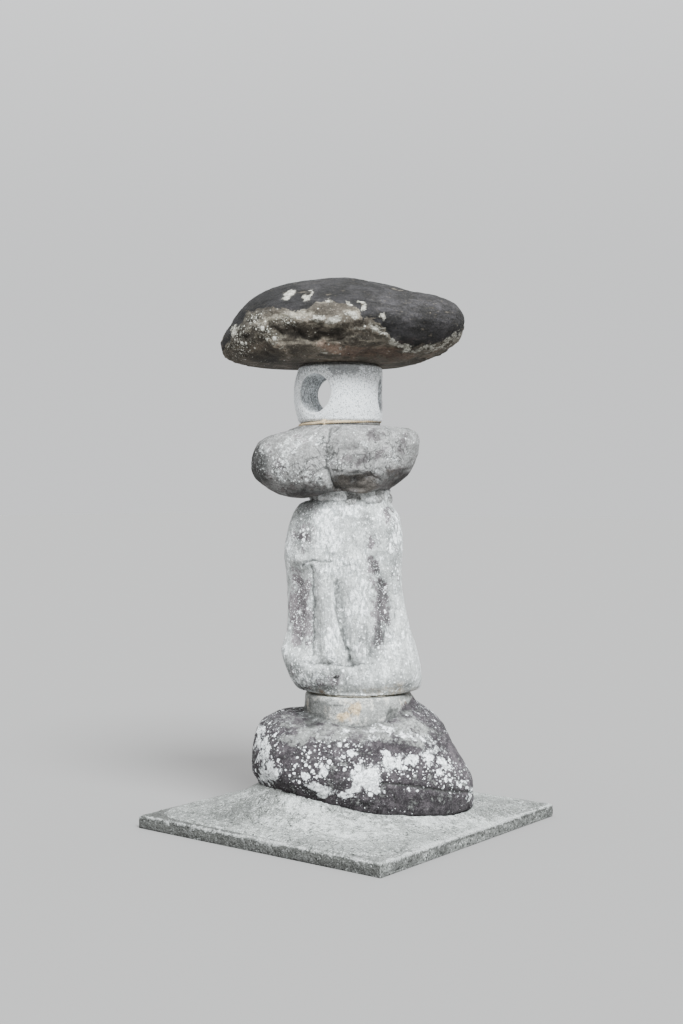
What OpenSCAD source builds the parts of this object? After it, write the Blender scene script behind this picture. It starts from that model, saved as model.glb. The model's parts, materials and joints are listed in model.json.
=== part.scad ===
/* [Slab] */
// Side of the square concrete slab
slab_side = 1300; // [1260:10:1600]
// Height of the slab above the ground
slab_t = 60; // [50:5:200]
// Chamfer along the slab's top edges
slab_chamfer = 8; // [3:1:20]
// Turn of the stacked stones against the slab, in degrees
stack_turn = 38; // [0:1:90]

/* [Mortar mound] */
// Thickness of the bedding mortar under the base stone
mound_bed_t = 10; // [6:1:30]
// Width of the slab's border that the mortar leaves bare
mound_margin = 24; // [20:1:40]
// Thickness left at the mortar's outer rim
mound_lip = 4; // [2:0.5:10]

/* [Base stone] */
// Greatest width of the base stone
base_w = 968; // [900:1:1040]
// Greatest depth of the base stone, front to back
base_d = 790; // [720:1:860]
// Height of the base stone, from its foot to its seat
base_h = 505; // [440:1:600]
// Diameter of the round seat dressed on the base stone
seat_d = 463; // [445:1:480]
// Rounding of the seat's rim
seat_edge = 9; // [4:1:14]

/* [Shaft stone] */
// Thickness of the mortar bed under the shaft
shaft_bed_t = 8; // [4:1:15]
// Diameter of the mortar bed under the shaft
shaft_bed_d = 410; // [360:1:420]
// Greatest width of the shaft stone
shaft_w = 614; // [580:1:660]
// Greatest depth of the shaft stone, front to back
shaft_d = 470; // [450:1:520]
// Height of the shaft stone
shaft_h = 828; // [750:1:950]
// Diameter of the seat cut on its foot
shaft_foot_d = 440; // [430:1:460]
// Diameter of the seat cut on its head
shaft_head_d = 352; // [350:1:370]

/* [Packed joint] */
// Height of the packed joint between shaft and platform
packing_h = 45; // [40:1:60]
// Diameter of the mortar in the packed joint
packing_d = 320; // [300:1:324]
// How far the packing stones reach into the mortar
packing_depth = 55; // [45:1:65]
// How far the packing stones stand out of the mortar
packing_proud = 10; // [4:1:12]

/* [Platform stone] */
// Greatest width of the platform stone
platform_w = 740; // [700:1:780]
// Greatest depth of the platform stone, front to back
platform_d = 570; // [540:1:620]
// Height of the platform stone between its lower and upper seats
platform_h = 276; // [260:1:300]
// Diameter of the seat cut on its underside
under_seat_d = 350; // [348:1:360]
// Diameter of the seat cut on its top
top_seat_d = 372; // [368:1:390]

/* [Light chamber] */
// Thickness of the mortar bed under the light chamber
chamber_bed_t = 15; // [12:1:20]
// Height of the light chamber
chamber_h = 243; // [236:1:260]
// Greatest diameter of the light chamber, at half its height
chamber_d = 404; // [396:1:412]
// Diameter of its foot and head
chamber_end_d = 370; // [366:1:376]
// Radius of its rounded top and bottom edges
chamber_edge = 18; // [8:1:20]
// Distance of its three dressed faces from the axis, at half its height
face_reach = 172; // [170:0.5:174]
// Radius of the hollow to which the faces are dressed from top to bottom
face_dish_r = 480; // [400:10:900]
// Diameter of its three round windows
window_d = 168; // [150:1:170]
// Width of the lip round each window
lip_w = 11; // [6:1:12]
// How far each lip stands out of its face
lip_t = 3; // [1:0.5:5]

/* [Cap stone] */
// Thickness of the mortar bed between light chamber and cap
cap_bed_t = 9; // [6:1:14]
// Diameter of that bed
cap_bed_d = 316; // [280:1:330]
// Greatest width of the cap stone
cap_w = 1064; // [980:1:1150]
// Greatest depth of the cap stone, front to back
cap_d = 840; // [760:1:900]
// Height of the cap stone's crown above its underside
cap_h = 371; // [350:1:420]

/* [Straw rope] */
// Thickness of the straw rope tied round the light chamber's foot
rope_d = 12; // [8:0.5:14]
// Diameter of the mortar bed under the light chamber, which the rope lies round
chamber_bed_d = 340; // [320:1:350]

/* [Hidden] */
packing_names = [for (i = [1:6]) str("packing_stone_", i)];

// Levels of the joints, from the ground up
base_z = slab_t + mound_bed_t;
seat_z = base_z + base_h;
shaft_z = seat_z + shaft_bed_t;
packing_z = shaft_z + shaft_h;
platform_z = packing_z + packing_h;
platform_top_z = platform_z + platform_h;
chamber_z = platform_top_z + chamber_bed_t;
cap_bed_z = chamber_z + chamber_h;
cap_z = cap_bed_z + cap_bed_t;

// Places of the seats, right of the stack's axis
seat_x = 37;
foot_x = 45;
packing_x = 0;
chamber_x = -41;

// Points round a stone, and rings drawn for each row of its table
sides = 72;
steps = 2;
// Facets of a turned piece
turned_fn = 96;

// Each row of a stone's table is one level: [x, z] where it is widest to the left and right,
// [y, z] where it reaches furthest to the front and back, in hundredths of the stone's width,
// depth and height, and how square it is, from 2 for an ellipse upwards.
base_rows = [
    [[-35, 0], [50.5, 0], [-41, 0], [40.5, 0], 2.4],
    [[-40.5, 20], [55.3, 3], [-46.5, 10], [45.5, 6], 2.5],
    [[-43.6, 30], [56.2, 15], [-49.5, 22], [48.5, 18], 2.6],
    [[-44, 41], [55.5, 27], [-50.3, 35], [49.6, 32], 2.6],
    [[-43.6, 54], [51, 43], [-48.5, 48], [48, 47], 2.5],
    [[-42.4, 66], [46, 59], [-45, 59], [44, 60], 2.4],
    [[-39.5, 76], [42, 72], [-40.5, 68], [40, 70], 2.3],
    [[-32, 82], [36.8, 82], [-35, 74], [35, 78], 2.15],
    [[-20.6, 84.8], [29.8, 91.4], [-29.9, 77.6], [29.9, 81], 2]];
shaft_rows = [
    [[-36.5, 1.4], [50, 1.2], [-43, 1.5], [43, 1.5], 2.3],
    [[-41.3, 6], [51.6, 6], [-49, 6.5], [48, 6], 2.5],
    [[-45, 12], [51, 12], [-50.5, 13], [49.5, 12], 2.7],
    [[-48.5, 20.5], [48.2, 20.5], [-49, 20.5], [48.5, 20], 2.7],
    [[-44.6, 31], [43.6, 31], [-46.5, 31], [46.5, 31], 2.6],
    [[-44, 45], [38.7, 45], [-45, 45], [45, 45], 2.6],
    [[-43.8, 57], [37.3, 57], [-46, 57], [45, 57], 2.6],
    [[-46.2, 69], [37.7, 69], [-46.5, 69], [45, 69], 2.5],
    [[-44.7, 80], [37.9, 80], [-44.5, 80], [44, 80], 2.4],
    [[-41, 91.5], [36, 91], [-42, 91.5], [41.5, 91], 2.3],
    [[-35.5, 98], [30.5, 96.8], [-38, 97.5], [38, 97.5], 2.1]];
platform_rows = [
    [[-32, -9], [25, 4], [-36, -3], [35, 0], 2.2],
    [[-43, -5], [30, 14], [-43, 3], [41, 5], 2.4],
    [[-52, 9], [35, 28], [-48, 14], [46, 17], 2.6],
    [[-57, 24], [38.4, 45], [-50, 30], [49, 34], 2.6],
    [[-58.5, 42], [40.4, 62], [-50, 50], [49.5, 53], 2.6],
    [[-57.2, 58], [41.1, 74], [-48.5, 68], [48, 70], 2.6],
    [[-53.3, 75], [40.3, 84], [-45, 83], [44, 84], 2.5],
    [[-46, 85.5], [37.6, 92], [-41, 92], [39, 92], 2.3],
    [[-36, 93], [31, 97.5], [-36, 97.5], [35, 97.5], 2.15]];
cap_rows = [
    [[-39, 0], [22, 0], [-18, 0], [35, 0], 2.2],
    [[-45, 2.5], [28, 4], [-30, 3], [41, 5], 2.3],
    [[-49.5, 8.5], [35, 12], [-39, 8.5], [46, 14], 2.4],
    [[-52, 15], [41.5, 21], [-44, 16], [49, 25], 2.4],
    [[-52.7, 23], [45.5, 32], [-46.5, 26], [50, 37], 2.4],
    [[-51.4, 33], [47.2, 43], [-49.5, 38], [49, 49], 2.4],
    [[-49.2, 43], [47.3, 53], [-48.5, 51], [45.5, 62], 2.4],
    [[-45.8, 59], [45.4, 63.5], [-43.5, 66], [39, 75], 2.4],
    [[-40, 75], [41.5, 73.5], [-34.5, 81], [30, 87], 2.3],
    [[-31.5, 89.5], [33, 79], [-22, 93], [18.5, 95.5], 2.2],
    [[-21, 98], [17.5, 93.5], [-9, 99], [7, 99.5], 2.1],
    [[-12, 100], [9, 98], [-3, 100], [2.5, 100], 2]];

// Creases press a stone in towards its core, and lifts raise it. Each is its depth in thousandths
// of the stone's width, half its width in degrees, how many rows it fades over below and above,
// and its path as [row, angle] pairs from below, with 0 to the right and -90 to the front.
// A depth below 0 is a ridge, or a sag.
base_creases = [
    [-9, 36, 0.8, 0.8, [[5.8, -58], [6.2, -58]]],
    [9, 32, 1, 1, [[4.1, -72], [4.7, -72]]],
    [-13, 11, 1, 1, [[2.6, -24], [5.5, -18]]],
    [15, 16, 1, 1, [[2, -5], [4.8, -2]]],
    [-12, 12, 1, 1, [[2, -135], [5, -135]]],
    [14, 16, 1, 1, [[1.6, -157], [5, -155]]],
    [14, 18, 1, 1, [[2, 60], [4.5, 75]]],
    [-10, 14, 1, 1, [[2, 150], [5, 140]]]];
base_lifts = [[52, 58, 1, 4, [[1, -137], [1.1, -137]]]];
shaft_creases = [
    [42, 11, 0.8, 0.8, [[3.4, -92], [4.5, -93], [5.4, -98], [6.8, -100]]],
    [-22, 14, 1, 1, [[3.8, -109], [7, -114]]],
    [-20, 14, 1, 1, [[3.8, -77], [6.6, -76]]],
    [46, 15, 0.8, 1, [[4.2, -62], [4.9, -55], [5.6, -47], [6.5, -45], [7.6, -52]]],
    [-24, 20, 1, 1.4, [[2.4, -44], [5.2, -26]]],
    [32, 13, 0.8, 0.8, [[4, -126], [5.2, -129], [7.6, -126]]],
    [24, 22, 0.8, 0.8, [[4.6, -147], [7.4, -147]]],
    [12, 34, 0.5, 0.4, [[3.3, -106], [3.5, -106]]],
    [14, 15, 1, 0.8, [[8.9, -66], [9.5, -66]]],
    [26, 20, 1, 1, [[4, 65], [8, 80]]],
    [22, 18, 1, 1, [[3, 130], [7, 120]]]];
platform_creases = [
    [46, 9, 0.6, 0.8, [[1.6, -92], [3.1, -92], [4.3, -95], [6.4, -97], [8.4, -101]]],
    [-14, 20, 1, 1, [[4, -118], [6.5, -118]]],
    [36, 19, 0.5, 0.5, [[2, -73], [3, -73]]],
    [-12, 22, 0.6, 1, [[3.9, -72], [4.7, -70]]],
    [24, 18, 0.6, 0.8, [[1.8, -33], [3, -36]]],
    [20, 15, 0.8, 0.8, [[3.4, -166], [6, -166]]],
    [-13, 10, 0.8, 0.8, [[3.4, -149], [6.4, -149]]],
    [22, 18, 1, 1, [[3, 70], [7, 85]]]];
platform_lifts = [
    [-26, 42, 1, 1.5, [[1, -138], [2, -138]]],
    [-18, 24, 1, 1, [[1, -66], [1.6, -66]]]];
cap_creases = [
    [26, 24, 0.8, 0.8, [[3.5, -102], [4.3, -102]]],
    [-11, 32, 0.8, 0.8, [[5.4, -96], [5.7, -96]]],
    [-13, 10, 0.8, 1, [[4.4, -134], [6.6, -134]]],
    [15, 15, 1, 1, [[3, -150], [6.5, -150]]],
    [13, 24, 0.7, 0.7, [[1.6, -60], [2.3, -60]]],
    [12, 15, 0.8, 1, [[6.5, -62], [8.4, -50]]],
    [14, 20, 1, 1, [[4, 60], [7, 80]]],
    [12, 16, 1, 1, [[4, 130], [7, 120]]]];
cap_lifts = [[-10, 26, 0.7, 0.5, [[8.5, -4], [8.9, -4]]]];

// The uneven swell on every stone, in thousandths of its width
swell_share = 6;
// Its three waves. Each is how many degrees it runs across the stone's width, how many it shifts
// with the seed, how many a cross wave bends it, and how many that one runs and shifts.
swell_waves = [[640, 77, 60, 500, 31], [780, 51, 70, 570, 17], [990, 13, 60, 640, 91]];

// A row for a round, level seat
function seat_row(x, d, z) = [[x - d / 2, z], [x + d / 2, z], [-d / 2, z], [d / 2, z], 2];
// A stone's table in millimetres
function sized(rows, w, d, h) = [for (r = rows)
    [[r[0][0] * w, r[0][1] * h] / 100, [r[1][0] * w, r[1][1] * h] / 100,
     [r[2][0] * d, r[2][1] * h] / 100, [r[3][0] * d, r[3][1] * h] / 100, r[4]]];

// The smooth curve through four rows, a share f of the way from b to c
function curve(a, b, c, d, f) =
    (2 * b + (c - a) * f + (2 * a - 5 * b + 4 * c - d) * f * f
     + (3 * b - a - 3 * c + d) * f * f * f) / 2;
function row_at(table, s) =
    let (last = len(table) - 1, i = min(floor(s), last - 1))
    curve(table[max(i - 1, 0)], table[i], table[i + 1], table[min(i + 2, last)], s - i);

// How far a squared-up ellipse with half axes [x, y] reaches in direction a
function reach(half, square, a) =
    pow(pow(abs(cos(a) / half[0]), square) + pow(abs(sin(a) / half[1]), square), -1 / square);
// A smooth bell, 1 at 0 and 0 beyond 1
function bell(x) = abs(x) >= 1 ? 0 : pow(1 - x * x, 2);
// A smooth step from 0 to 1 as x goes from a to b
function ease(a, b, x) = let (f = min(max((x - a) / (b - a), 0), 1)) f * f * (3 - 2 * f);
// The turn from angle b to angle a by the shorter way
function turn(a, b) = let (d = (a - b) % 360) d > 180 ? d - 360 : d < -180 ? d + 360 : d;

// What a list of creases or lifts comes to at row s and angle a
function total(list, i = 0) = i == len(list) ? 0 : list[i] + total(list, i + 1);
function marks_at(marks, s, a) = total([for (m = marks)
    let (path = m[4], low = path[0][0], high = path[len(path) - 1][0])
    m[0] * bell(turn(a, lookup(s, path)) / m[1])
    * ease(low - m[2], low, s) * (1 - ease(high, high + m[3], s))]);

// The uneven swell of a weathered face, between -1 and 1, at a point in shares of the width
function swell(p, seed) = total([for (k = [0:2])
    let (wave = swell_waves[k], bend = sin(p[(k + 2) % 3] * wave[3] + seed * wave[4]))
    sin(p[k] * wave[0] + seed * wave[1] + wave[2] * bend)]) / 3;

// One ring of a stone at s rows up its table. Its points move along the lines to the stone's
// core, an upright line in its middle that ends w / 4 or h / 2, whichever is less, short of
// its foot and head. The swell counts in full at a fade of 1 and not at all at 0.
function ring_at(table, s, w, h, creases, lifts, fade, seed) =
    let (r = row_at(table, s), mid = [(r[0][0] + r[1][0]) / 2, (r[2][0] + r[3][0]) / 2],
         half = [(r[1][0] - r[0][0]) / 2, (r[3][0] - r[2][0]) / 2],
         core = min(w / 2, h) / 2)
    [for (j = [0:sides - 1])
        let (a = 360 * j / sides,
             out = reach(half, r[4], a),
             x = out * cos(a),
             y = out * sin(a),
             z = pow(cos(a), 2) * (cos(a) > 0 ? r[1][1] : r[0][1])
                 + pow(sin(a), 2) * (sin(a) > 0 ? r[3][1] : r[2][1]),
             level = min(max(z, core), h - core),
             cut = marks_at(creases, s, a)
                   - swell_share * fade * swell([x, y, z] / w, seed),
             f = 1 - cut * w / 1000 / norm([x, y, z - level]))
        [mid[0] + x * f, mid[1] + y * f,
         level + (z - level) * f + marks_at(lifts, s, a) * w / 1000]];

// All rings of a stone. The swell fades out at its foot, and at its head unless it has a crown
function stone_rings(table, w, h, creases, lifts, seed, crown = false) =
    let (last = len(table) - 1)
    [for (k = [0:steps * last])
        let (s = k / steps)
        ring_at(table, s, w, h, creases, lifts,
                ease(0, 1.5, s) * (crown ? 1 : 1 - ease(last - 1.5, last, s)), seed)];

function ring_mid(ring) =
    [for (k = [0:2]) total([for (p = ring) p[k]]) / len(ring)];

// A closed solid through rings that hold the same number of points, with both ends filled
module skin(rings, inside_out = false) {
    n = len(rings[0]);
    m = len(rings);
    walls = [for (i = [0:m - 2], j = [0:n - 1])
        let (a = i * n + j, b = i * n + (j + 1) % n)
        each [[a, a + n, b + n], [a, b + n, b]]];
    foot = [for (j = [0:n - 1]) [m * n, j, (j + 1) % n]];
    head = [for (j = [0:n - 1]) [m * n + 1, (m - 1) * n + (j + 1) % n, (m - 1) * n + j]];
    polyhedron(concat([for (r = rings) each r], [ring_mid(rings[0]), ring_mid(rings[m - 1])]),
               [for (f = concat(walls, foot, head)) inside_out ? [f[2], f[1], f[0]] : f],
               convexity = 6);
}

// Sets its children into the stack of stones, with their foot at height z
module stacked(z, x = 0) rotate([0, 0, stack_turn]) translate([x, 0, z]) children();

base_rings = stone_rings(sized(base_rows, base_w, base_d, base_h), base_w, base_h,
                         base_creases, base_lifts, 3);
shaft_table = concat([seat_row(foot_x, shaft_foot_d, 0)],
                     sized(shaft_rows, shaft_w, shaft_d, shaft_h),
                     [seat_row(packing_x, shaft_head_d, shaft_h)]);
platform_table = concat([seat_row(packing_x, under_seat_d, 0)],
                        sized(platform_rows, platform_w, platform_d, platform_h),
                        [seat_row(chamber_x, top_seat_d, platform_h)]);
cap_table = sized(cap_rows, cap_w, cap_d, cap_h);

// How square the mortar's rim is, and how steeply the mortar rises to the stone
mound_square = 8;
mound_rise = 2.1;
// Where the rings between stone and rim lie
mound_shares = [0.14, 0.32, 0.6, 1];

// Directions of the chamber's windows, from the stack's right
window_angles = [232, 352, 112];
// Each packing stone's direction, and its width in hundredths of the joint's diameter
packing_plan = [[-116, 37], [-62, 21], [-20, 17.5], [42, 25], [100, 23], [172, 29]];
// How much narrower the packing stones are inside, and how far they bow out in their middle
packing_taper = 0.8;
packing_bow = 3;
// Wear of the packing stones' outer edges
packing_worn = 6;

module concrete_slab() color([0.56, 0.55, 0.52]) difference() {
    translate([-slab_side / 2, -slab_side / 2, 0]) cube([slab_side, slab_side, slab_t]);
    for (k = [0:3]) rotate([0, 0, 90 * k])
        translate([slab_side / 2, 0, slab_t]) rotate([0, 45, 0])
            cube([slab_chamfer * sqrt(2), slab_side * 1.1, slab_chamfer * sqrt(2)], center = true);
}

// The mortar meets the stone along the stone's own rings, up to the first row of its table, and
// runs out to a rim that follows the slab's sides
module mortar_mound() {
    contact = base_rings[steps];
    half = slab_side / 2 - mound_margin;
    lip = mound_lip - mound_bed_t;
    apron = function (f) [for (p = contact)
        let (a = atan2(p[1], p[0]),
             rim = reach([half, half], mound_square, a + stack_turn) * [cos(a), sin(a)],
             rise = pow(1 - f, mound_rise))
        [p[0] + (rim[0] - p[0]) * f, p[1] + (rim[1] - p[1]) * f, lip + (p[2] - lip) * rise]];
    color([0.57, 0.56, 0.53]) stacked(base_z)
        skin(concat([for (k = [0:steps]) base_rings[k]], [for (f = mound_shares) apron(f)],
                    [[for (p = apron(1)) [p[0], p[1], -mound_bed_t]]]), inside_out = true);
}

module base_stone() {
    circle_at = function (d, z) [for (j = [0:sides - 1])
        [seat_x + d / 2 * cos(360 * j / sides), d / 2 * sin(360 * j / sides), z]];
    // The seat's rim is a quarter round
    rim = [for (a = [0, 45, 90]) circle_at(seat_d - 2 * seat_edge * (1 - cos(a)),
                                           base_h - seat_edge * (1 - sin(a)))];
    color([0.33, 0.31, 0.33]) stacked(base_z) skin(concat(base_rings, rim));
}

// A round bed of mortar between two seats
module mortar_bed(x, z, d, t) color([0.42, 0.39, 0.31]) stacked(z, x)
    cylinder(d = d, h = t, $fn = turned_fn);

module shaft_bed_mortar() mortar_bed(seat_x, seat_z, shaft_bed_d, shaft_bed_t);

module shaft_stone() color([0.62, 0.61, 0.60]) stacked(shaft_z)
    skin(stone_rings(shaft_table, shaft_w, shaft_h, shaft_creases, [], 5));

// The wedge that packing stone i takes out of the mortar's rim, seen from above
module packing_outline(i, proud) {
    half = packing_plan[i][1] / 100 * packing_d / 2;
    inner = packing_d / 2 - packing_depth;
    outer = packing_d / 2 + proud;
    rotate(packing_plan[i][0])
        polygon([[inner, -half * packing_taper], [outer, -half], [outer + packing_bow, 0],
                 [outer, half], [inner, half * packing_taper]]);
}

module packing_mortar() color([0.50, 0.48, 0.42]) stacked(packing_z, packing_x)
    linear_extrude(packing_h) difference() {
        circle(d = packing_d, $fn = turned_fn);
        for (i = [0:len(packing_plan) - 1]) packing_outline(i, packing_proud);
    }

// A flat stone driven into the joint, worn back at its outer edges
module packing_stone(i) color([0.60, 0.58, 0.56]) stacked(packing_z, packing_x) hull() {
    linear_extrude(packing_h) packing_outline(i, -packing_worn);
    translate([0, 0, packing_worn])
        linear_extrude(packing_h - 2 * packing_worn) packing_outline(i, packing_proud);
}

module platform_stone() color([0.50, 0.49, 0.48]) stacked(platform_z)
    skin(stone_rings(platform_table, platform_w, platform_h, platform_creases, platform_lifts, 8));

module chamber_bed_mortar() mortar_bed(chamber_x, platform_top_z, chamber_bed_d, chamber_bed_t);

// A turned drum with three dressed faces, and a round window bored through each to the middle.
// The lip round a window follows the hollow of its face.
module light_chamber() color([0.72, 0.70, 0.67]) stacked(chamber_z, chamber_x) difference() {
    rotate_extrude($fn = turned_fn) chamber_profile();
    for (a = window_angles) window_along(a) {
        difference() {
            face_cut(face_reach);
            cylinder(d = window_d + 2 * lip_w, h = chamber_d, $fn = turned_fn);
        }
        face_cut(face_reach + lip_t);
        cylinder(d = window_d, h = chamber_d, $fn = turned_fn);
    }
}

// What dressing a face takes off, from a given distance outwards
module face_cut(reach) translate([0, 0, reach + face_dish_r]) rotate([90, 0, 0])
    cylinder(r = face_dish_r, h = chamber_d, center = true, $fn = turned_fn);

// Points its children outward at angle a, at half the chamber's height
module window_along(a) rotate([0, 0, a]) translate([0, 0, chamber_h / 2])
    rotate([0, 90, 0]) children();

// Half of the drum's section: a bulging side between two rounded edges
module chamber_profile() {
    end = chamber_end_d / 2;
    bulge = (chamber_d - chamber_end_d) / 2;
    side = [for (t = [0:0.125:1])
        [end + bulge * (1 - pow(2 * t - 1, 2)), chamber_edge + t * (chamber_h - 2 * chamber_edge)]];
    top = [for (a = [15:15:90])
        [end - chamber_edge * (1 - cos(a)), chamber_h - chamber_edge * (1 - sin(a))]];
    bottom = [for (a = [90:-15:15])
        [end - chamber_edge * (1 - cos(a)), chamber_edge * (1 - sin(a))]];
    polygon(concat([[0, 0]], bottom, side, top, [[0, chamber_h]]));
}

// One turn of rope, pulled tight round the chamber's bed
module straw_rope() color([0.70, 0.62, 0.42]) stacked(platform_top_z + rope_d / 2, chamber_x) {
    ring = chamber_bed_d / 2 + rope_d / 2;
    rotate_extrude($fn = turned_fn) translate([ring, 0]) circle(d = rope_d, $fn = 16);
}

module cap_bed_mortar() mortar_bed(chamber_x, cap_bed_z, cap_bed_d, cap_bed_t);

module cap_stone() color([0.36, 0.34, 0.35]) stacked(cap_z)
    skin(stone_rings(cap_table, cap_w, cap_h, cap_creases, cap_lifts, 11, crown = true));

concrete_slab();
mortar_mound();
base_stone();
shaft_bed_mortar();
shaft_stone();
packing_mortar();
packing_stone(0);  // packing_stone_1
packing_stone(1);  // packing_stone_2
packing_stone(2);  // packing_stone_3
packing_stone(3);  // packing_stone_4
packing_stone(4);  // packing_stone_5
packing_stone(5);  // packing_stone_6
platform_stone();
chamber_bed_mortar();
light_chamber();
straw_rope();
cap_bed_mortar();
cap_stone();
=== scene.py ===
"""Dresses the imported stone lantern: weathered rocks, carved granite, mortar, concrete and rope."""
import json
import math

import bpy
import numpy as np
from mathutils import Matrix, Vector

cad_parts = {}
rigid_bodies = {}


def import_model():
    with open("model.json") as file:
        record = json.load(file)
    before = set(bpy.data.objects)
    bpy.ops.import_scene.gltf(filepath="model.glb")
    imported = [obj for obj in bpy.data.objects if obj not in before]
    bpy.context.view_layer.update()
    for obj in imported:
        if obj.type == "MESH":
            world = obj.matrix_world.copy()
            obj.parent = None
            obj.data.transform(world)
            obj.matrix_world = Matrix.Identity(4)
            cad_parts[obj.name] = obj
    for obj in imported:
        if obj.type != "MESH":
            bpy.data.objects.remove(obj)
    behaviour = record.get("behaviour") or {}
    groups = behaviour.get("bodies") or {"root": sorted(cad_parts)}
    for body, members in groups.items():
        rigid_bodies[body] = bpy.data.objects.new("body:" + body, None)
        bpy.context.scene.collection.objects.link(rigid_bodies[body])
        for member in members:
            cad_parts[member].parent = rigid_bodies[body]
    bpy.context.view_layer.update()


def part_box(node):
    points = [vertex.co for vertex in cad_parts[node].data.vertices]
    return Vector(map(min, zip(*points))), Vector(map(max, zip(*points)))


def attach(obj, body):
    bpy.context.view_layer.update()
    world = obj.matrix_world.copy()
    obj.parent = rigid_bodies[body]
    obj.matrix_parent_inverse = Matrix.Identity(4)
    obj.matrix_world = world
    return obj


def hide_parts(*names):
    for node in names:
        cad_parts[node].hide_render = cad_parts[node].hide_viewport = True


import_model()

# The stack of stones is turned against the slab. In the stack's own frame x runs to the
# photograph's right, y away from its camera and z up, all in metres.
STACK_TURN = math.radians(38)

# The photograph's camera, in the stack's frame
PHOTO_SIZE = (683, 1024)
FOCAL_PIXELS = 1422
SLAB_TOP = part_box("concrete_slab")[1].z
EYE = np.array([-0.035, -6.209, SLAB_TOP + 1.396])
PITCH = math.radians(-0.9)
SENSOR = 36
# The soft light comes from above, from the right and from the camera's side
KEY_FROM = (0.35, -0.85, 1)
KEY_STRENGTH = 11.6
KEY_SPREAD = math.radians(28)
KEY_TONE = (0.93, 0.98, 1)
# The sky grows stronger from just over the horizon up to the zenith
SKY_RISE = (0.12, 1)
SKY_STRENGTH = (0.951, 2.436)
SKY_TONE = (0.975, 0.988, 1)
FLOOR_TONE = (0.211, 0.206, 0.202)
FLOOR_REACH = 60


def turned(points, angle):
    x, y, z = np.asarray(points, float).T
    c, s = math.cos(angle), math.sin(angle)
    return np.column_stack((c * x - s * y, s * x + c * y, z))


def to_row(points):
    """Points or directions of the stack's frame, in the row's frame."""
    return turned(points, STACK_TURN)


def to_stack(points):
    """Points or directions of the row's frame, in the stack's frame."""
    return turned(points, -STACK_TURN)


def to_photo(points):
    """Where points of the stack's frame show in the photograph, in its pixels."""
    x, y, z = (points - EYE).T
    depth = y * math.cos(PITCH) + z * math.sin(PITCH)
    rise = z * math.cos(PITCH) - y * math.sin(PITCH)
    return np.column_stack((PHOTO_SIZE[0] / 2 + FOCAL_PIXELS * x / depth,
                            PHOTO_SIZE[1] / 2 - FOCAL_PIXELS * rise / depth))


# Camera, floor and light


def add(name, data):
    thing = bpy.data.objects.new(name, data)
    bpy.context.scene.collection.objects.link(thing)
    return thing


def place_camera():
    lens = bpy.data.cameras.new("photo_camera")
    lens.sensor_width = SENSOR
    lens.lens = SENSOR * FOCAL_PIXELS / PHOTO_SIZE[1]
    camera = add("photo_camera", lens)
    camera.location = to_row([EYE])[0]
    camera.rotation_euler = (math.pi / 2 + PITCH, 0, STACK_TURN)
    bpy.context.scene.camera = camera


def build_stage():
    floor_mesh = bpy.data.meshes.new("floor")
    corners = np.array([(-1, -1, 0), (1, -1, 0), (1, 1, 0), (-1, 1, 0)]) * FLOOR_REACH
    floor_mesh.from_pydata(corners.tolist(), [], [(0, 1, 2, 3)])
    paint = Paint("floor_paint", 1, 0)
    paint.wire(paint.shader.inputs["Base Color"], FLOOR_TONE)
    floor_mesh.materials.append(paint.material)
    add("floor", floor_mesh)

    world = bpy.data.worlds.new("studio")
    world.use_nodes = True
    tree = world.node_tree
    sky = tree.nodes["Background"]
    place = tree.nodes.new("ShaderNodeTexCoord").outputs["Generated"]
    split = tree.nodes.new("ShaderNodeSeparateXYZ")
    tree.links.new(place, split.inputs[0])
    climb = tree.nodes.new("ShaderNodeMapRange")
    climb.interpolation_type = "SMOOTHSTEP"
    tree.links.new(split.outputs["Z"], climb.inputs["Value"])
    for end, value in zip(("From Min", "From Max", "To Min", "To Max"), SKY_RISE + SKY_STRENGTH):
        climb.inputs[end].default_value = value
    tree.links.new(climb.outputs["Result"], sky.inputs["Strength"])
    sky.inputs["Color"].default_value = (*SKY_TONE, 1)
    bpy.context.scene.world = world

    light = bpy.data.lights.new("key", "SUN")
    light.energy = KEY_STRENGTH
    light.angle = KEY_SPREAD
    light.color = KEY_TONE
    towards = Vector(to_row([KEY_FROM])[0])
    add("key", light).rotation_euler = towards.to_track_quat("Z", "Y").to_euler()


# Noise, the same on every run

DICE = np.random.default_rng(11)
SHUFFLE = DICE.permutation(256)
SLOPES = DICE.normal(size=(256, 3))
SLOPES /= np.linalg.norm(SLOPES, axis=1)[:, None]
SCATTER = DICE.random((256, 3))


def number_of(lattice):
    """A number from 0 to 255 for each cell of a lattice."""
    x, y, z = (lattice & 255).T
    return SHUFFLE[(SHUFFLE[(SHUFFLE[x] + y) & 255] + z) & 255]


def ripple(points, size, seed):
    """Smooth noise of about -1 to 1, with swells about size metres apart."""
    places = points / size + seed * np.array([17.3, 9.1, 23.7])
    low = np.floor(places).astype(int)
    inside = places - low
    eased = inside ** 3 * (inside * (inside * 6 - 15) + 10)
    total = np.zeros(len(points))
    for corner in np.ndindex(2, 2, 2):
        share = np.where(corner, eased, 1 - eased).prod(axis=1)
        total += share * ((inside - corner) * SLOPES[number_of(low + corner)]).sum(axis=1)
    return total * 1.5


def rough(points, size, octaves, seed, gain=0.5):
    """Ripples on ripples, each octave half the size of the one before."""
    return sum(gain ** k * ripple(points, size / 2 ** k, seed + k) for k in range(octaves))


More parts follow.
